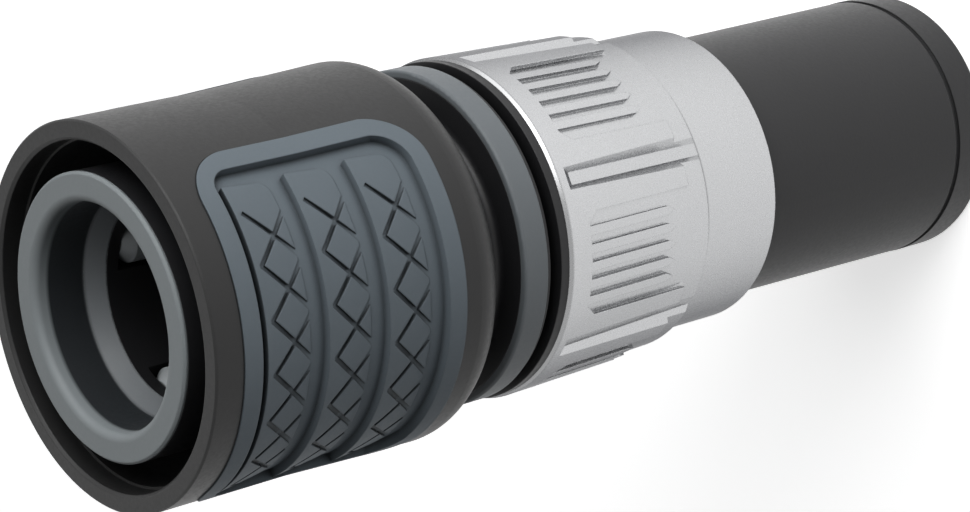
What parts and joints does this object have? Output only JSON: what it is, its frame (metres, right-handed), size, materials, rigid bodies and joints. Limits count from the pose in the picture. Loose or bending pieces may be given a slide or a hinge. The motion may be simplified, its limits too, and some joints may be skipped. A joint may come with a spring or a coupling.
{
  "type": "garden hose quick connector",
  "caption": "Round hose end connector: sliding release sleeve with grip pads, locking claws round the mouth, ribbed compression nut and a long tail sleeve for the hose.",
  "frame": {"origin": "centre of the hose end's flat face, on which the part stands", "axes": "+Z along the connector's axis from the hose end to the mouth, +X through the middle of one grip pad"},
  "size_m": [0.0348, 0.0346, 0.0974],
  "materials": {
    "sleeve_black": "satin moulded",
    "grip_grey": "matt soft-touch",
    "ring_grey": "matt moulded",
    "body_black": "satin moulded",
    "claw_grey": "matt moulded",
    "spring_steel": "drawn wire",
    "seal_rubber": "matt",
    "nut_silver": "satin",
    "tail_black": "satin smooth"
  },
  "bodies": {
    "tail_group": {"tail_sleeve": "tail_black", "tail_end_ring": "tail_black", "thrust_washer": "claw_grey", "hose_collet": "claw_grey"},
    "nut": {"nut_shell": "nut_silver", "nut_insert": "body_black"},
    "socket_group": {"socket_body": "body_black", "nose_ring": "ring_grey", "nose_collar": "body_black", "flange_band": "ring_grey", "spring_seat_ring": "body_black", "sleeve_spring": "spring_steel", "hose_tail": "body_black", "tail_seal": "seal_rubber"},
    "sleeve": {"release_sleeve": "sleeve_black", "grip_pad_1": "grip_grey", "grip_pad_2": "grip_grey"},
    "claw_1": {"locking_claw_1": "claw_grey"},
    "claw_2": {"locking_claw_2": "claw_grey"},
    "claw_3": {"locking_claw_3": "claw_grey"},
    "claw_4": {"locking_claw_4": "claw_grey"}
  },
  "joints": [
    {"name": "nut_turn", "type": "hinge", "parent": "tail_group", "child": "nut", "pos_m": [0, 0, 0.045], "axis": [0, 0, -1], "range_deg": [0, 1080]},
    {"name": "socket_rise", "type": "slide", "parent": "tail_group", "child": "socket_group", "axis": [0, 0, 1], "range_m": [0, 0.0075]},
    {"name": "sleeve_pull", "type": "slide", "parent": "socket_group", "child": "sleeve", "axis": [0, 0, -1], "range_m": [0, 0.003], "stiffness_N_per_m": 3000, "springref_m": -0.002, "deforming": ["sleeve_spring"]},
    {"name": "claw_1_slide", "type": "slide", "parent": "socket_group", "child": "claw_1", "axis": [0.9659, -0.2588, 0], "range_m": [0, 0.0012]},
    {"name": "claw_2_slide", "type": "slide", "parent": "socket_group", "child": "claw_2", "axis": [0.2588, 0.9659, 0], "range_m": [0, 0.0012]},
    {"name": "claw_3_slide", "type": "slide", "parent": "socket_group", "child": "claw_3", "axis": [-0.9659, 0.2588, 0], "range_m": [0, 0.0012]},
    {"name": "claw_4_slide", "type": "slide", "parent": "socket_group", "child": "claw_4", "axis": [-0.2588, -0.9659, 0], "range_m": [0, 0.0012]}
  ],
  "couplings": [
    {"joint": "nut_turn", "follows": "socket_rise", "rad_per_m": 2513.3},
    {"joint": "claw_1_slide", "follows": "sleeve_pull", "ratio": 0.4},
    {"joint": "claw_2_slide", "follows": "sleeve_pull", "ratio": 0.4},
    {"joint": "claw_3_slide", "follows": "sleeve_pull", "ratio": 0.4},
    {"joint": "claw_4_slide", "follows": "sleeve_pull", "ratio": 0.4}
  ]
}
